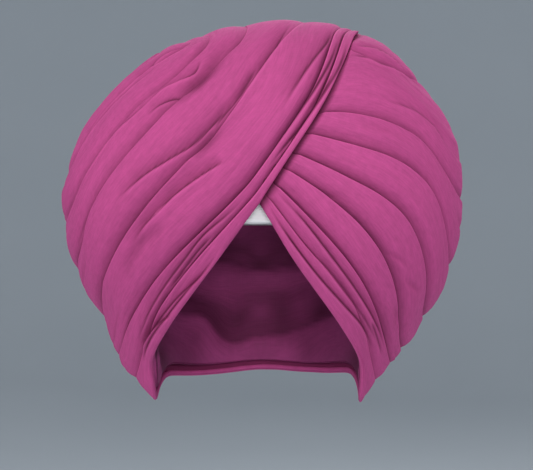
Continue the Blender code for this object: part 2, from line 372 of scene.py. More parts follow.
# The lower edge, down the right of the face, round the nape and up the left of the face, as
# station, azimuth from the front round by the right, and elevation.
RIM = (
    (0.0, 0.0, 11.1), (1.0, 13.1, -10.1), (2.0, 35.3, -33.3), (2.4, 56.4, -46.9),
    (3.0, 81.0, -58.9), (4.0, 130.0, -51.0), (5.0, 180.0, -47.0), (6.0, 230.0, -51.0),
    (7.0, 276.4, -57.5), (7.5, 296.4, -46.7), (8.0, 318.5, -34.3), (8.5, 343.1, -11.1),
    (9.0, 360.0, 11.1),
)
NOTCH_STATION = 9


def unit(vectors):
    return vectors / np.linalg.norm(vectors, axis=-1, keepdims=True)


def directions(places):
    turn, rise = np.radians(np.asarray(places, dtype=float)).T
    return np.stack((
        np.sin(turn) * np.cos(rise), -np.cos(turn) * np.cos(rise), np.sin(rise)
    ), axis=-1)


def cubic(before, start, end, after, share):
    return 0.5 * (
        2.0 * start
        + (end - before) * share
        + (2.0 * before - 5.0 * start + 4.0 * end - after) * share ** 2
        + (3.0 * start - before - 3.0 * end + after) * share ** 3
    )


class Rail:
    # A smooth curve of directions through a row of stations, read by station number.
    def __init__(self, points):
        points = np.asarray(points)
        first, last = 2.0 * points[0] - points[1], 2.0 * points[-1] - points[-2]
        self.points = np.vstack((first, points, last))
        self.spans = len(points) - 1

    def at(self, place):
        place = np.clip(np.asarray(place, dtype=float), 0.0, self.spans)
        low = np.minimum(place.astype(int), self.spans - 1)
        around = [self.points[low + step] for step in range(4)]
        return unit(cubic(*around, (place - low)[..., None]))


rim_rail = Rail(directions([row[1:] for row in RIM]))


def rim_at(station):
    return rim_rail.at(np.interp(station, [row[0] for row in RIM], range(len(RIM))))


rim_ways = rim_at(NOTCH_STATION * np.arange(RIM_POINTS) / RIM_POINTS)


def near_line(ways, line):
    # The distance to a line of points in radians, the share of its length, and the side.
    nearest = np.argmax(ways @ line.T, axis=1)
    best = np.full(len(ways), math.inf)
    share = np.zeros(len(ways))
    side = np.zeros(len(ways))
    for shift in (-1, 0):
        start = np.clip(nearest + shift, 0, len(line) - 2)
        first, run = line[start], line[start + 1] - line[start]
        part = np.clip(((ways - first) * run).sum(axis=1) / (run * run).sum(axis=1), 0.0, 1.0)
        gap = ways - (first + run * part[:, None])
        far = np.linalg.norm(gap, axis=1)
        closer = far < best
        best = np.where(closer, far, best)
        share = np.where(closer, (start + part) / (len(line) - 1), share)
        turned = (np.cross(run, gap) * ways).sum(axis=1)
        side = np.where(closer, np.sign(turned), side)
    return best, share, side


def head_radius(way):
    tall = np.where(way[:, 2] > 0.0, HEAD_CROWN, HEAD_LOWER)
    return 1.0 / np.sqrt(
        (way[:, 0] / (HEAD_WIDTH / 2.0)) ** 2
        + (way[:, 1] / (HEAD_DEPTH / 2.0)) ** 2
        + (way[:, 2] / tall) ** 2
    )


def outer_radius(way):
    # The front outline, rounded off to the front and back, and thinned towards the rim.
    place = (np.arctan2(way[:, 2], way[:, 0]) / math.tau * len(OUTLINE)) % len(OUTLINE)
    low = np.floor(place).astype(int)
    shares = np.asarray(OUTLINE)
    around = [shares[(low + step) % len(OUTLINE)] for step in (-1, 0, 1, 2)]
    outline = WRAP_WIDTH / 2.0 * cubic(*around, place - low)
    across = np.linalg.norm(way[:, (0, 2)], axis=1)
    deep = np.where(way[:, 1] < 0.0, FRONT_DEPTH, BACK_DEPTH)
    full = (
        (across / outline) ** FULLNESS + (np.abs(way[:, 1]) / deep) ** FULLNESS
    ) ** (-1.0 / FULLNESS)
    away = np.minimum(near_line(way, rim_ways)[0] / RIM_TAPER, 1.0)
    taper = RIM_SHARE + (1.0 - RIM_SHARE) * np.sin(math.pi / 2.0 * away)
    head = head_radius(way)
    return head + (full - head) * taper


def turn_depth(way, outer):
    return np.minimum(TURN_DEPTH, TURN_SHARE * (outer - head_radius(way)))


shaded_inner_look = cotton("inner_cotton_painted_shade", SHADED_INNER_MAGENTA, INNER_PAINTED_SHADE, sheen=0.15, change=0.4)
top_way = directions([(0.0, 89.9)])[0]
shape = bmesh.new()
bmesh.ops.create_uvsphere(shape, u_segments=CORE_ROUND, v_segments=2 * CORE_DOWN + 1, radius=1.0)
ball = unit(np.array([vert.co[:] for vert in shape.verts]))
ball_row = np.rint((2 * CORE_DOWN + 1) * np.arccos(np.clip(ball[:, 2], -1.0, 1.0)) / math.pi)
outside = ball_row <= CORE_DOWN
down = np.where(outside, ball_row, 2 * CORE_DOWN + 1 - ball_row) / CORE_DOWN
round_share = (np.arctan2(ball[:, 1], ball[:, 0]) / math.tau) % 1.0
edge_way = rim_at(NOTCH_STATION * round_share)
edge_angle = np.arccos(np.clip(edge_way @ top_way, -1.0, 1.0))
down = (1.0 - (1.0 - down) ** CORE_CROWDING) * (1.0 - CORE_SETBACK)
way = unit(
    np.sin((1.0 - down) * edge_angle)[:, None] * top_way
    + np.sin(down * edge_angle)[:, None] * edge_way
)
outer = outer_radius(way)
inner = head_radius(way)
# Near the rim the wrap comes out to the back of the turns, and closes the space behind them.
to_rim = down / (1.0 - CORE_SETBACK)
closed = smooth((to_rim - CLOSE_START) / CLOSE_RUN)
behind_turns = turn_depth(way, outer) * (1.0 - CLOSE_SHARE * closed) + CORE_GAP
wall = outer - behind_turns - inner
blunt = np.clip((to_rim - BLUNT_START) / BLUNT_RUN, 0.0, 1.0)
rounded = wall / 2.0 * (1.0 - np.sqrt(1.0 - blunt ** 2))
turn_round = np.arctan2(way[:, 0], -way[:, 1]) / math.pi
bands = INNER_BANDS * (0.5 - np.arcsin(way[:, 2]) / math.pi) - BAND_CLIMB * np.abs(turn_round)
bands = bands + BAND_WANDER * ripple(31, way[:, 0] * WANDER_REPEATS, way[:, 2] * WANDER_REPEATS)
band_share = bands - np.floor(bands)
fold = smooth(band_share / FOLD_RISE) - smooth((band_share - FOLD_DROP) / FOLD_DROP_RUN)
fold = INNER_FOLD * fold
wrinkle = ripple(37, way[:, 0] * WRINKLES_ACROSS, bands * WRINKLES_PER_BAND)
fold = fold + INNER_WRINKLE * (1.0 + wrinkle)
inside_radius = inner + rounded + np.minimum(fold, wall * FOLD_LIMIT)
radius = np.where(outside, inner + wall - rounded, inside_radius)
# Painted shade on the inside of the wrap, darker where its bands lie deeper.
painted_shading = np.stack((INNER_SHADE_SHARE * fold / INNER_FOLD * ~outside, 0.0 * fold, 0.0 * fold), axis=1)
cloth = np.stack((np.abs(turn_round) * HALF_ROUND, bands * BAND_PITCH, outside * 1.0), axis=1)
set_cloth(shape, CENTRE + way * radius[:, None], cloth, painted_shading)
inner_wrap = cloth_piece("inner_wrap_cloth", shape, shaded_inner_look)
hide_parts("inner_wrap")
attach(inner_wrap, "root")


# Outer turns
# Eight pleats of one length of magenta cotton voile. Each starts under the edge of the sweep
# over the forehead, goes down the right, round the back, up the left as a pleat of the sweep
# and over the crown. Each is folded over at its upper edge, and the next is tucked under it.
MAGENTA = (0.455, 0.060, 0.215, 1.0)
# The colour of the painted shade in creases, behind folds and in tucks.
PAINTED_SHADE_MAGENTA = (0.070, 0.002, 0.022, 1.0)
# Rows along a turn, and the stations between which they lie wider apart, at the back.
TURN_ROWS = 640
BACK_ROWS = 0.45
BACK_FROM = 2.7
BACK_TO = 7.5
BACK_FADE = 0.6
MESH_STEPS = (0.0005, 0.0006, 0.0006, 0.0006, 0.0006, 0.0008, 0.0011, 0.0011)
RING_COUNTS = (26, 104)
RING_CROWDING = 0.35
ROLL_POINTS = 5
INNER_POINTS = 12
STATIONS = 12
PACE_POINTS = 801
MIDDLE_POINTS = 200
LAP_POINTS = 401
CREASE_POINTS = 60
LEAST_WIDTH = 0.0015
TUCK = 0.007
TUCK_LIMIT = 0.6
TUCK_SLOPE = 0.1
# At each station: how far the next turn dips behind a fold and how far the fold stands proud,
# as shares, with less at the two tips for the lowest two, and less on the right for the first.
FOLD_STEP = (0.85, 0.95, 0.9, 0.6, 0.55, 0.55, 0.55, 0.5, 0.85, 0.95, 0.7, 0.12, 0.1)
PROUD_STEP = (1.0, 1.0, 0.9, 0.25, 0.6, 0.6, 0.6, 0.3, 0.8, 1.0, 0.6, 0.1, 0.1)
TIP_STEP = (1.0, 1.0, 0.9, 0.4, 0.35, 0.35, 0.35, 0.3, 0.8, 1.0, 1.2, 2.4, 1.6)
FIRST_STEP = (0.3, 0.25, 0.3, 0.6, 1.0, 1.0, 1.0, 1.0, 1.0, 1.0, 1.0, 1.0, 1.0)
# The dip, the proud edge and the swell, in metres. Each limit is a share of the turn's width.
DIP = 0.0042
DIP_REACH = 0.0105
DIP_LIMIT = 0.3
DIP_LEAST = 0.0006
REACH_LIMIT = 0.6
PROUD = 0.0011
PROUD_REACH = 0.008
PROUD_GAIN = 1.3
SWELL = 0.0018
SWELL_LIMIT = 0.07
EDGE_ROUND = 0.0008
EDGE_LIMIT = 0.10
HEM_ROUND = 0.0022
HEM_LIMIT = 0.3
HEM_REACH = 0.007
LAP_HEM_ROUND = 0.0013
LAP_PROUD = 0.0020
LAP_PROUD_REACH = 0.010
LAP_BLEND = 0.6
# The stations between which the rolled edge and the lap's hem grow thinner, and the shares.
EDGE_THINS = ((10.0, 10.8), (1.0, 0.6))
HEM_THINS = ((10.5, 11.2), (1.0, 0.5))
START_TUCK = 0.011
END_TUCK = 0.008
TIP_DIP = 0.0022
TIP_REACH = 0.007
# The upper edge of the last turn is hidden up to this share of the lap edge.
HIDDEN_TO = 0.40
HIDDEN_FADE = 0.04
HIDDEN_TUCK = 0.009
WOBBLE = 0.0005
WOBBLE_LENGTH = 0.05
# Painted shading: the width of the painted dark line behind a fold and the painted shade round it,
# the dip that takes the full shade, the darkest share of any painted shade, and the reach of the
# painted highlight on a folded edge.
FOLD_SHADE_WIDTH = 0.0014
FOLD_SHADE = 0.72
FULL_SHADE_DIP = 0.0016
DARKEST = 0.92
EDGE_HIGHLIGHT_REACH = 0.0013
EDGE_HIGHLIGHT_THROUGH = -0.3
# Shifts of the weave from turn to turn and from front to back, in metres.
TURN_SHIFT = 0.07
BACK_SHIFT = 0.5
# Creases within the turns, in millimetres. Each share is of the crease's own width or length.
CREASE_STEP = 1.8
CREASE_STEP_SHARE = 0.25
CREASE_FADES = (0.25, 0.3)
VALLEY_FADE = 0.5
LIP_REACH_SHARE = 0.8
LIP_RISE = 0.4
SINK = 0.9
# The painted dark line just behind a crease, the painted highlight on its lip, and the painted
# shade over its sunk side and in a soft valley.
SHADE_LINE_AT = -0.6
SHADE_LINE_WIDTH = 1.05
CREASE_HIGHLIGHT_AT = 1.2
CREASE_HIGHLIGHT_WIDTH = 1.0
CREASE_HIGHLIGHT_SHARE = 0.6
SHADE_SHARE = 0.62
SHADE_REACH_SHARE = 0.9
VALLEY_SHADE = 0.2
VALLEY_DARKEST = 0.8
FULL_SHADE_DEPTH = 1.8
NEAR_SHARE = 0.97
NEAR_MARGIN = 0.03
MILLIMETRE = 0.001
RADIUS = 0.130
# Wrinkles: metres along and across to a swell of each noise, then widths and depths.
BEND_SWELL = (0.07, 0.03)
LONG_SWELL = (0.15, 0.011)
FINE_SWELL = (0.10, 0.006)
PATCH_SWELL = (0.12, 0.02)
BEND = 0.5
PATCHY = 1.5
LONG_WIDTH = 0.16
FINE_WIDTH = 0.22
LONG_DEPTH = 0.00050
FINE_DEPTH = 0.00025
SWAY = 0.00055
# Pleats round the back: their stations, how they wander and break off, and their section.
PLEAT_WIDTH = 0.013
PLEAT_DEPTH = 0.0014
PLEAT_FROM = 2.5
PLEAT_TO = 7.7
PLEAT_FADE = 0.8
PLEAT_JITTER = 0.25
PLEAT_JITTER_PACE = 7.0
PLEAT_WANDER = 0.0028
PLEAT_WANDER_LENGTH = 0.13
PLEAT_OFTEN = 0.55
PLEAT_PATCHY = 1.4
PLEAT_PATCH_LENGTH = 0.12
PLEAT_STEP = 0.0014
PLEAT_SUNK_REACH = 0.0036
PLEAT_LIP_REACH = 0.0026
PLEAT_LIP = 0.3
PLEAT_SINK = 0.9
PLEAT_SHADE = 0.6
PLEAT_SHADE_REACH = 0.0018
# The edge of the last turn, from the notch over the forehead up and round behind the crown.
LAP_EDGE = (
    (0.0, 11.1), (7.6, 21.1), (19.3, 34.5), (30.9, 46.4), (52.4, 59.0),
    (98.0, 64.0), (140.0, 59.0), (180.0, 57.0), (220.0, 59.0), (256.0, 63.0), (282.0, 60.0),
)
# Folds between the turns, lowest first: share of the lap edge where the fold starts, its way
# down the right, round the back and up the left, and the share where it ends.
FOLDS = (
    (0.020,
     (15.5, -3.5), (35.0, -22.5), (75.5, -50.0),
     (130.0, -47.5), (180.0, -44.0), (230.0, -47.0),
     (280.0, -48.0), (319.0, -26.0), (356.5, 11.5), (378.3, 36.2), (412.6, 61.8),
     0.470),
    (0.042,
     (17.4, 3.8), (35.1, -14.4), (73.7, -42.0),
     (130.0, -43.0), (180.0, -40.0), (230.0, -42.0),
     (281.0, -38.0), (317.4, -18.9), (352.0, 12.5), (376.5, 39.0), (411.0, 64.0),
     0.530),
    (0.071,
     (21.8, 11.0), (37.8, -4.2), (75.8, -37.0),
     (130.0, -35.0), (180.0, -32.0), (230.0, -33.0),
     (288.5, -21.5), (312.0, -5.5), (335.1, 18.9), (354.1, 40.6), (392.0, 71.0),
     0.630),
    (0.099,
     (26.5, 16.4), (44.4, 4.4), (75.6, -24.5),
     (130.0, -25.0), (180.0, -22.0), (230.0, -20.0),
     (290.0, -7.0), (305.0, 5.5), (324.2, 29.8), (339.7, 51.3), (349.5, 70.9),
     0.750),
    (0.132,
     (30.1, 24.3), (51.4, 14.2), (75.0, -8.3),
     (130.0, -10.0), (180.0, -8.0), (230.0, -6.0),
     (287.0, 5.0), (303.0, 18.2), (315.0, 36.0), (327.0, 50.0), (322.0, 67.5),
     0.850),
    (0.165,
     (33.2, 32.5), (50.0, 26.6), (73.8, 10.2),
     (130.0, 8.0), (180.0, 8.0), (230.0, 10.0),
     (281.5, 17.0), (292.0, 28.5), (300.5, 43.5), (309.0, 55.0), (306.0, 66.0),
     0.930),
    (0.301,
     (44.0, 51.5), (55.0, 47.5), (80.0, 42.5),
     (130.0, 34.0), (180.0, 31.0), (230.0, 33.0),
     (264.0, 38.5), (274.0, 43.5), (281.0, 48.5), (286.0, 53.0), (287.0, 57.0),
     1.000),
)
FIRST_TURN_LAP = (0.000, 0.165, 0.345, 0.420)
LAST_TURN_LAP = (
    0.325, 0.350, 0.380, 0.440, 0.570, 0.710, 0.850,
    0.900, 0.920, 0.935, 0.950, 0.962, 0.975,
)
# Creases within the turns: which side of the line stands proud (1 for the left as it runs, -1
# for the right, 0 for a soft valley), how deep and how wide in millimetres, and the line.
CREASES = (
    (1, 2.0, 3.2, (356.7, 13.5), (349.3, 6.5), (341.0, -0.7), (333.9, -8.6), (325.4, -16.9),
     (315.4, -25.8), (304.3, -34.5), (290.9, -42.2)),
    (1, 2.2, 3.0, (346.8, -5.2), (337.4, -15.6), (328.7, -21.9), (319.3, -28.8), (308.6, -35.3),
     (297.0, -40.9)),
    (1, 2.0, 2.4, (343.4, -9.8), (332.4, -20.1), (320.9, -29.5), (311.3, -35.5), (299.9, -41.7),
     (290.2, -46.3)),
    (1, 4.0, 3.6, (326.1, -27.5), (314.7, -32.3), (304.4, -37.4), (292.6, -42.6)),
    (1, 2.0, 3.2, (345.0, 0.5), (339.0, -5.5), (331.0, -14.0), (322.0, -22.5)),
    (1, 2.6, 4.0, (38.6, 74.9), (10.4, 60.6), (5.7, 55.9), (356.4, 44.4), (349.0, 36.5)),
    (0, 3.0, 5.0, (350.1, 36.3), (344.8, 30.4), (339.6, 24.8), (336.3, 21.1)),
    (1, 2.4, 5.5, (352.6, 41.5), (349.0, 37.3), (338.5, 26.6), (331.4, 20.9), (326.0, 17.0),
     (320.4, 12.3), (314.0, 6.5)),
    (1, 2.8, 6.5, (348.6, 22.5), (345.6, 20.6), (335.3, 12.8), (329.7, 7.5), (323.2, 1.4),
     (316.5, -5.9)),
    (0, 1.8, 4.0, (331.0, 6.0), (327.9, 1.3), (321.7, -2.3), (314.8, -10.0), (306.9, -17.9)),
    (0, 4.6, 5.5, (346.0, 66.0), (341.3, 60.8), (339.0, 50.9), (335.5, 45.4), (332.5, 42.1),
     (328.8, 38.0), (325.2, 33.9)),
    (1, 2.0, 3.0, (337.0, 48.5), (334.9, 45.8), (332.8, 41.5), (328.2, 39.4), (323.7, 36.1),
     (321.0, 32.6)),
    (1, 2.4, 3.6, (333.1, 54.3), (332.8, 48.9), (327.6, 45.0), (322.7, 42.1), (317.0, 35.1)),
    (1, 2.8, 4.0, (323.2, 64.6), (313.1, 57.2), (308.7, 52.4), (301.4, 49.4), (299.2, 45.1)),
    (1, 1.6, 3.4, (331.0, 68.5), (305.0, 59.1), (302.6, 46.1), (295.3, 33.5), (291.4, 22.9),
     (288.6, 14.9)),
    (1, 2.0, 3.0, (311.5, 50.6), (305.7, 43.5), (301.1, 38.0), (295.2, 28.9), (290.1, 21.0)),
    (1, 1.0, 3.4, (322.7, 42.1), (317.0, 35.1), (310.6, 28.6), (304.2, 19.6), (300.1, 14.7)),
    (1, 1.0, 2.6, (308.3, 9.4), (303.2, 4.9), (297.6, -0.6), (289.2, -6.3)),
    (1, 2.2, 4.5, (54.3, 66.0), (34.5, 58.0), (22.9, 51.1), (14.2, 43.7), (6.7, 35.2)),
    (1, 1.8, 2.0, (32.7, 49.2), (22.7, 40.0), (15.0, 32.6), (8.4, 26.7), (2.9, 20.9)),
    (1, 1.8, 1.8, (50.8, 62.5), (30.8, 51.0), (20.9, 42.3), (13.6, 35.5), (6.8, 28.7),
     (0.8, 22.3)),
    (1, 1.6, 1.8, (47.6, 58.2), (32.1, 47.8), (23.0, 40.0), (16.0, 33.6), (10.0, 26.8)),
    (1, 1.6, 4.0, (1.0, 52.9), (356.3, 46.5), (352.3, 40.7), (347.2, 34.5), (342.4, 29.4)),
    (-1, 1.5, 3.0, (44.0, 54.3), (56.1, 53.0), (63.1, 50.5), (69.5, 45.3)),
    (-1, 1.5, 2.6, (38.8, 51.2), (46.4, 49.7), (52.0, 47.4), (64.0, 45.0), (72.0, 40.0)),
    (-1, 1.0, 4.0, (42.2, 36.0), (53.6, 33.2), (61.7, 28.2), (66.0, 22.0)),
    (-1, 2.4, 2.2, (1.4, 12.4), (7.5, 2.7), (13.7, -6.0), (21.6, -15.1), (32.2, -24.2),
     (43.7, -31.9), (53.9, -39.0), (62.0, -45.0)),
    (-1, 2.6, 2.6, (4.9, 14.4), (13.0, 5.9), (22.9, -6.0), (32.2, -15.8), (43.6, -26.0),
     (57.0, -35.3), (68.9, -42.0)),
    (-1, 1.3, 2.0, (17.8, -5.8), (21.7, -9.7), (30.5, -18.7), (40.3, -26.9), (50.8, -34.5),
     (62.4, -41.3)),
    (-1, 1.4, 2.2, (45.2, -28.8), (54.1, -35.5), (67.4, -42.8)),
    (0, 1.4, 2.0, (38.7, -4.6), (45.0, -7.1), (50.0, -9.7)),
    (0, 1.4, 2.0, (45.8, -11.2), (55.9, -15.8), (61.7, -17.7)),
    (0, 1.2, 2.0, (20.4, 12.2), (23.3, 11.4), (26.4, 9.7)),
    (0, 0.8, 2.4, (29.0, 31.5), (38.3, 28.7), (48.0, 24.5)),
    (0, 1.4, 2.2, (50.1, -20.8), (57.8, -27.1), (66.5, -34.3)),
)


class Lap:
    # The lap edge, read by its share of length.
    def __init__(self, stations):
        self.rail = Rail(directions(stations))
        self.places = np.linspace(0.0, self.rail.spans, LAP_POINTS)
        steps = np.linalg.norm(np.diff(self.rail.at(self.places), axis=0), axis=1)
        self.length = np.concatenate(((0.0,), np.cumsum(steps)))

    def at(self, share):
        return self.rail.at(np.interp(share * self.length[-1], self.length, self.places))


lap = Lap(LAP_EDGE)
stations = np.arange(STATIONS + 1)
fold_rails = [
    Rail(np.vstack((lap.at(fold[0]), directions(fold[1:-1]), lap.at(fold[-1])))) for fold in FOLDS
]
crease_lines = [
    (crease[:3], Rail(directions(crease[3:])).at(np.linspace(0.0, len(crease) - 4, CREASE_POINTS)))
    for crease in CREASES
]


def fold_at(number, place):
    # The edge under turn number: the rim and the lap edge under the first turn, and the lap
    # edge over the last.
    if number == 0:
        on_lap = lap.at(np.interp(place, stations[NOTCH_STATION:], FIRST_TURN_LAP))
        return np.where((place <= NOTCH_STATION)[..., None], rim_at(place), on_lap)
    if number > len(FOLDS):
        return lap.at(np.interp(place, stations, LAST_TURN_LAP))
    return fold_rails[number - 1].at(place)


lengths = sum(
    np.concatenate(((0.0,), np.cumsum(np.linalg.norm(np.diff(rail.at(stations), axis=0), axis=1))))
    for rail in fold_rails
)
pace = lengths / lengths[-1]
start_shares = [0.0] + [fold[0] for fold in FOLDS] + [LAST_TURN_LAP[0]]
end_shares = [FIRST_TURN_LAP[-1]] + [fold[-1] for fold in FOLDS] + [LAST_TURN_LAP[-1]]


def turn_patch(number, along, across):
    # The patch between a turn's two edges. Beyond its tips it runs straight on.
    inside = np.where(along < 0.0, -along, np.where(along > 1.0, 2.0 - along, along))

    def within(along, across):
        place = np.interp(along, pace, stations)
        across, along = across[..., None], along[..., None]
        starts, ends = start_shares[number:number + 2], end_shares[number:number + 2]
        start = lap.at(starts[0] + (starts[1] - starts[0]) * across[..., 0])
        end = lap.at(ends[0] + (ends[1] - ends[0]) * across[..., 0])
        sides = (1.0 - across) * fold_at(number, place) + across * fold_at(number + 1, place)
        tips = (1.0 - along) * start + along * end
        corners = (
            (1.0 - along) * (
                (1.0 - across) * lap.at(starts[0]) + across * lap.at(starts[1])
            )
            + along * ((1.0 - across) * lap.at(ends[0]) + across * lap.at(ends[1]))
        )
        return unit(sides + tips - corners)

    ways = within(inside, across)
    beyond = (along < 0.0) | (along > 1.0)
    tip = within(np.clip(along, 0.0, 1.0), across)
    return np.where(beyond[..., None], unit(2.0 * tip - ways), ways)


def crease_lift(ways):
    # How far the creases push the cloth out or in, their painted shade and their painted
    # highlight.
    lift = np.zeros(len(ways))
    shade = np.zeros(len(ways))
    edge = np.zeros(len(ways))
    for (side, depth, width), line in crease_lines:
        middle = unit(line.mean(axis=0))
        close = ways @ middle > (line @ middle).min() * NEAR_SHARE - NEAR_MARGIN
        if not close.any():
            continue
        gap, share, turned = near_line(ways[close], line)
        gap = gap * RADIUS * 1000.0
        if side:
            ends = smooth(share / CREASE_FADES[0]) * smooth((1.0 - share) / CREASE_FADES[1])
            behind = gap * turned * side
            below, above = np.minimum(behind, 0.0), np.maximum(behind, 0.0)
            past = smooth(0.5 - behind / max(CREASE_STEP, CREASE_STEP_SHARE * width))
            sunk = past * np.exp(below / width)
            lip = (1.0 - past) * np.exp(-above / (LIP_REACH_SHARE * width))
            rise = LIP_RISE * lip - SINK * sunk
            # Painted shade: a dark line just behind the crease and softer shade over its sunk
            # side; a painted highlight on its lip.
            shade_line = np.exp(-((behind - SHADE_LINE_AT) / SHADE_LINE_WIDTH) ** 2)
            light = CREASE_HIGHLIGHT_SHARE * np.exp(-((behind - CREASE_HIGHLIGHT_AT) / CREASE_HIGHLIGHT_WIDTH) ** 2)
            soft = SHADE_SHARE * past * np.exp(below / (SHADE_REACH_SHARE * width))
            painted_shade = np.maximum(shade_line, soft)
        else:
            ends = smooth(share / VALLEY_FADE) * smooth((1.0 - share) / VALLEY_FADE)
            rise = -np.exp(-(gap / width) ** 2)
            # Painted shade in a soft valley.
            painted_shade = -rise * min(VALLEY_DARKEST, VALLEY_SHADE * depth)
            light = 0.0 * rise
        lift[close] += MILLIMETRE * depth * rise * ends
        ends = ends * min(1.0, depth / FULL_SHADE_DEPTH)
        shade[close] = np.maximum(shade[close], painted_shade * ends)
        edge[close] = np.maximum(edge[close], light * ends)
    return lift, shade, edge


magenta_look = cotton("magenta_cotton_finish", MAGENTA, PAINTED_SHADE_MAGENTA, sheen=0.32, change=0.45)


def ring_steps(count):
    # The steps round a turn: the share of its width, how far round its edge, how far through.
    even = np.linspace(0.0, 1.0, count)
    crowded = even - RING_CROWDING * np.sin(math.tau * even) / math.tau
    roll = np.linspace(math.pi / 2.0, -math.pi / 2.0, ROLL_POINTS + 2)[1:-1]
    back = np.linspace(1.0, 0.0, INNER_POINTS)
    share = np.concatenate((crowded, np.ones(ROLL_POINTS), back, np.zeros(ROLL_POINTS)))
    side = np.concatenate((np.zeros(count), np.cos(roll), np.zeros(INNER_POINTS), -np.cos(roll)))
    through = np.concatenate((np.ones(count), np.sin(roll), -np.ones(INNER_POINTS), -np.sin(roll)))
    seam = -(count + ROLL_POINTS + INNER_POINTS // 2)
    return [np.roll(row, seam) for row in (share, side, through)]


def fine_wrinkles(seed, along, across):
    # Long thin wrinkles that come and go: valleys where a noise passes through nought.
    def noise(shift, swell, bend=0.0):
        return ripple(seed + shift, along / swell[0], across / swell[1] + bend)

    bend = BEND * noise(3, BEND_SWELL)
    first = noise(0, LONG_SWELL, bend)
    second = noise(1, FINE_SWELL, bend)
    where = smooth(0.5 + PATCHY * noise(2, PATCH_SWELL))
    lines = np.exp(-(first / LONG_WIDTH) ** 2) * where
    fine = np.exp(-(second / FINE_WIDTH) ** 2) * (1.0 - where)
    return -LONG_DEPTH * lines - FINE_DEPTH * fine + SWAY * first * (1.0 - where)


def fold_step(fold, place):
    step = np.interp(place, stations, FOLD_STEP)
    if fold < 3:
        step = step * np.interp(place, stations, TIP_STEP)
    if fold == 1:
        step = step * np.interp(place, stations, FIRST_STEP)
    return step


def back_pleats(seed, place, along, spot, wide, count):
    # Narrow pleats within a turn, round the back, where each lies over the one above it,
    # with painted shade where the one above dips under it.
    lift = 0.0 * spot
    shade = 0.0 * spot
    back = smooth((place - PLEAT_FROM) / PLEAT_FADE) * smooth((PLEAT_TO - place) / PLEAT_FADE)
    for pleat in range(1, count):
        jitter = PLEAT_JITTER * math.sin(PLEAT_JITTER_PACE * pleat + seed)
        line = wide * (pleat + jitter) / count
        line = line + PLEAT_WANDER * ripple(seed + pleat, along / PLEAT_WANDER_LENGTH, 0.0 * along)
        patch = ripple(seed + 20 + pleat, along / PLEAT_PATCH_LENGTH, 0.0 * along)
        there = smooth(PLEAT_OFTEN + PLEAT_PATCHY * patch) * back
        above = spot - line
        past = smooth(0.5 + above / PLEAT_STEP)
        sunk = past * np.exp(-np.maximum(above, 0.0) / PLEAT_SUNK_REACH)
        lip = (1.0 - past) * np.exp(np.minimum(above, 0.0) / PLEAT_LIP_REACH)
        lift = lift + PLEAT_DEPTH * there * (PLEAT_LIP * lip - PLEAT_SINK * sunk)
        # Painted shade on the sunk side just above each pleat line.
        painted_shade = PLEAT_SHADE * there * past * np.exp(-np.maximum(above, 0.0) / PLEAT_SHADE_REACH)
        shade = np.maximum(shade, painted_shade)
    return lift, shade


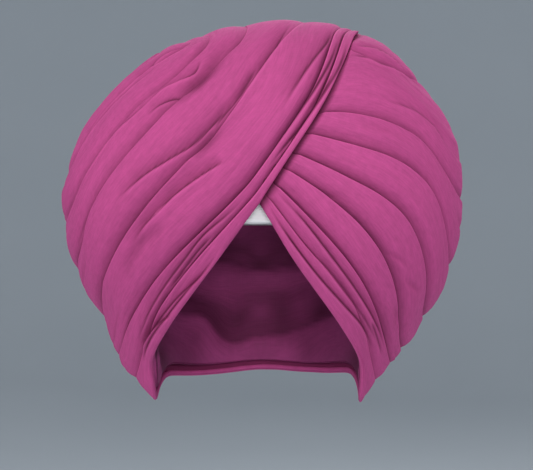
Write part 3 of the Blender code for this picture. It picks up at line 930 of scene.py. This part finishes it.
for number in range(len(FOLDS) + 1):
    middle = turn_patch(number, np.linspace(0.0, 1.0, MIDDLE_POINTS), np.full(MIDDLE_POINTS, 0.5))
    middle_points = CENTRE + middle * outer_radius(middle)[:, None]
    length = np.linalg.norm(np.diff(middle_points, axis=0), axis=1).sum()
    # The rows lie closer together where the finest creases are, and wider apart at the back.
    even = np.linspace(-START_TUCK / length, 1.0 + END_TUCK / length, PACE_POINTS)
    even_place = np.interp(even, pace, stations)
    at_back = smooth((even_place - BACK_FROM) / BACK_FADE)
    at_back = at_back * smooth((BACK_TO - even_place) / BACK_FADE)
    crowd = np.cumsum(1.0 - (1.0 - BACK_ROWS) * at_back)
    row_along = np.interp(np.linspace(crowd[0], crowd[-1], TURN_ROWS + 1), crowd, even)
    inside = np.clip(row_along, 0.0, 1.0)
    place = np.interp(inside, pace, stations)
    low, high = fold_at(number, place), fold_at(number + 1, place)
    size = outer_radius(unit(low + high))
    width = np.maximum(np.linalg.norm(high - low, axis=1) * size, LEAST_WIDTH)
    on_lap = hidden = under = 0.0 * place
    if number == 0:
        on_lap = smooth((place - NOTCH_STATION + LAP_BLEND / 2.0) / LAP_BLEND)
    else:
        below = np.linalg.norm(low - fold_at(number - 1, place), axis=1) * size
        under = np.minimum(TUCK, TUCK_LIMIT * below)
    if number == len(FOLDS):
        last_lap = np.interp(place, stations, LAST_TURN_LAP)
        hidden = 1.0 - smooth((last_lap - HIDDEN_TO) / HIDDEN_FADE)
    over = HIDDEN_TUCK * hidden
    top_round = np.minimum(EDGE_ROUND, EDGE_LIMIT * width)
    low_round = top_round
    if number == 0:
        hem_round = HEM_ROUND + (LAP_HEM_ROUND - HEM_ROUND) * on_lap
        low_round = np.minimum(hem_round, HEM_LIMIT * width)
    top_round = top_round * np.interp(place, *EDGE_THINS)
    hem_proud = LAP_PROUD * on_lap * np.interp(place, *HEM_THINS)
    dips = np.minimum(DIP * fold_step(number, place), DIP_LIMIT * width + DIP_LEAST)
    prouds = np.minimum(1.0, PROUD_GAIN * fold_step(number + 1, place))
    prouds = PROUD * prouds * np.interp(place, stations, PROUD_STEP)
    reaches = np.minimum(DIP_REACH, REACH_LIMIT * width)
    count = int(np.clip(width.mean() / MESH_STEPS[number], *RING_COUNTS))
    pleat_count = round(width.mean() / PLEAT_WIDTH)
    ring_share, ring_side, ring_through = ring_steps(count)

    def turn_place(row, step):
        share, side, through = ring_share[step], ring_side[step], ring_through[step]
        wide, along = width[row], row_along[row]
        full = wide + under[row] + over[row]
        from_low = share * full
        to_hem = smooth(1.0 - from_low / HEM_REACH)
        thick = top_round[row] + (low_round - top_round)[row] * to_hem
        spot = -under[row] + thick + share * (full - 2.0 * thick)
        across = (spot + thick * side) / wide
        # Every fold but the lowest edge wanders a little.
        wobble = WOBBLE * ripple(50 + number, along * length / WOBBLE_LENGTH, 0.0 * along)
        way = turn_patch(number, along, across + wobble / wide * (number > 0))
        outer = outer_radius(way)
        deep = np.minimum(turn_depth(way, outer) / TURN_DEPTH, 1.0)
        proud = smooth(1.0 - (wide - spot) / PROUD_REACH) * (1.0 - hidden[row])
        lift = prouds[row] * proud
        swell = np.sin(math.pi * np.clip(spot / wide, 0.0, 1.0))
        lift = lift + np.minimum(SWELL, SWELL_LIMIT * wide) * swell
        if number:
            sunk = (1.0 - np.clip(spot / reaches[row], 0.0, 1.0)) ** 2
            lift = lift - dips[row] * sunk + TUCK_SLOPE * np.minimum(spot, 0.0)
            # Painted shade: a dark line where this turn comes out from under the fold below it,
            # and softer shade over its dip.
            shade_line = np.exp(-(np.maximum(spot, 0.0) / FOLD_SHADE_WIDTH) ** 2)
            full_shade = np.minimum(1.0, dips[row] / FULL_SHADE_DIP)
            shade = np.maximum(shade_line, FOLD_SHADE * sunk) * full_shade
        else:
            lift = lift + hem_proud[row] * smooth(1.0 - spot / LAP_PROUD_REACH)
            shade = 0.0 * lift
        # Painted shade in the tuck under the strip and at both tips of the turn.
        sunk = hidden[row] * (1.0 - smooth((wide - spot) / TIP_REACH))
        lift = lift - TIP_DIP * sunk
        shade = np.maximum(shade, sunk)
        for gap in (along * length, (1.0 - along) * length):
            sunk = 1.0 - smooth(gap / TIP_REACH)
            lift = lift - TIP_DIP * sunk
            shade = np.maximum(shade, sunk)
        # The creases' lift, their painted shade and their painted highlight.
        creased, painted_shade, lip = crease_lift(way)
        creased = creased + fine_wrinkles(70 + 10 * number, along * length, spot)
        pleated, pleat_shade = back_pleats(
            200 + 40 * number, place[row], along * length, spot, wide, pleat_count
        )
        creased = creased + pleated
        painted_shade = np.maximum(painted_shade, pleat_shade)
        # A painted highlight along the folded upper edge and on the lips of creases.
        edge = smooth(1.0 - (wide - spot) / EDGE_HIGHLIGHT_REACH)
        edge = edge * (1.0 - hidden[row]) * (through > EDGE_HIGHLIGHT_THROUGH)
        edge = np.maximum(edge, lip)
        # Painted shade and painted highlight for the cotton's colour.
        painted_shading = np.stack((DARKEST * np.maximum(shade, painted_shade), edge, 0.0 * along), axis=1)
        radius = outer + lift * deep + creased + thick * (through - 1.0)
        weave_across = spot + number * TURN_SHIFT + BACK_SHIFT * (through < 0.0)
        cloth = np.stack((along * length, weave_across, 0.0 * along), axis=1)
        return CENTRE + way * radius[:, None], cloth, painted_shading

    turn, area = cloth_ring(
        f"turn_{number + 1}_cloth", TURN_ROWS, len(ring_share), turn_place, magenta_look
    )
    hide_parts(f"turn_{number + 1}")
    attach(turn, "root")
    area / 2.0 / length


# Floor, light and camera
# A pale sweep that curves up all round, with a soft round light in front, above, at each side
# and behind. The camera looks straight on at the height of the brow.
FLOOR_COLOURS = ((0.42, 0.46, 0.50, 1.0), (0.46, 0.50, 0.54, 1.0))
# The section of the sweep, from the middle out and up.
FLOOR_SECTION = (
    (0.0, 0.0, -0.55), (1.8, 0.0, -0.55), (2.5, 0.0, -0.48), (3.0, 0.0, -0.2),
    (3.3, 0.0, 0.3), (3.4, 0.0, 1.0), (3.4, 0.0, 2.4),
)
# Name, place, width in metres and power in watts.
LIGHTS = (
    ("front_light", (0.05, -2.1, 0.10), 1.1, 20.0),
    ("top_light", (0.05, -0.70, 1.35), 1.1, 9.0),
    ("left_light", (-1.7, -1.1, 0.1), 1.1, 14.0),
    ("right_light", (1.8, -0.6, 0.2), 1.1, 7.0),
    ("back_light", (0.2, 1.8, 0.9), 1.3, 13.0),
)
SKY_COLOUR = (0.90, 0.95, 1.0, 1.0)
SKY_STRENGTH = 0.48
CAMERA_PLACE = (0.0046, -1.5, -0.1004)
CAMERA_LENS = 141.8
CAMERA_SENSOR = 36.0

stage_look = Finish("pale_floor_finish")
speck = stage_look.node(
    "ShaderNodeTexNoise", {"noise_dimensions": "3D"},
    {"Vector": stage_look.node("ShaderNodeTexCoord", {}, {}, "Object"), "Scale": 3.0}, "Fac"
)
stage_look.put(
    stage_look.shader.inputs["Base Color"], stage_look.blend(speck, *FLOOR_COLOURS)
)
stage_look.shader.inputs["Roughness"].default_value = 0.9
shape = bmesh.new()
profile = [shape.verts.new(point) for point in FLOOR_SECTION]
for start, end in zip(profile, profile[1:]):
    shape.edges.new((start, end))
bmesh.ops.spin(
    shape, geom=shape.verts[:] + shape.edges[:], cent=(0.0, 0.0, 0.0), axis=(0.0, 0.0, 1.0),
    angle=math.tau, steps=72, use_merge=True
)
bmesh.ops.remove_doubles(shape, verts=shape.verts, dist=1e-5)
bmesh.ops.recalc_face_normals(shape, faces=shape.faces)
mesh = bpy.data.meshes.new("pale_floor")
shape.to_mesh(mesh)
shape.free()
mesh.shade_smooth()
mesh.materials.append(stage_look.made)
floor = bpy.data.objects.new("pale_floor", mesh)
bpy.context.collection.objects.link(floor)
smoothing = floor.modifiers.new("smoothing", "SUBSURF")
smoothing.levels = 2
smoothing.render_levels = 2

for name, spot, size, power in LIGHTS:
    lamp = bpy.data.lights.new(name, "AREA")
    lamp.shape = "DISK"
    lamp.size = size
    lamp.energy = power
    light = bpy.data.objects.new(name, lamp)
    light.location = spot
    aim = Vector(CENTRE) - Vector(spot)
    light.rotation_euler = aim.to_track_quat("-Z", "Y").to_euler()
    bpy.context.collection.objects.link(light)

sky = bpy.data.worlds.new("soft_sky")
sky.use_nodes = True
sky.node_tree.nodes["Background"].inputs["Color"].default_value = SKY_COLOUR
sky.node_tree.nodes["Background"].inputs["Strength"].default_value = SKY_STRENGTH
bpy.context.scene.world = sky
bpy.context.scene.view_settings.view_transform = "Standard"

lens = bpy.data.cameras.new("photo_camera")
lens.sensor_width = CAMERA_SENSOR
lens.lens = CAMERA_LENS
camera = bpy.data.objects.new("photo_camera", lens)
camera.location = CAMERA_PLACE
camera.rotation_euler = (math.pi / 2.0, 0.0, 0.0)
bpy.context.collection.objects.link(camera)
bpy.context.scene.camera = camera
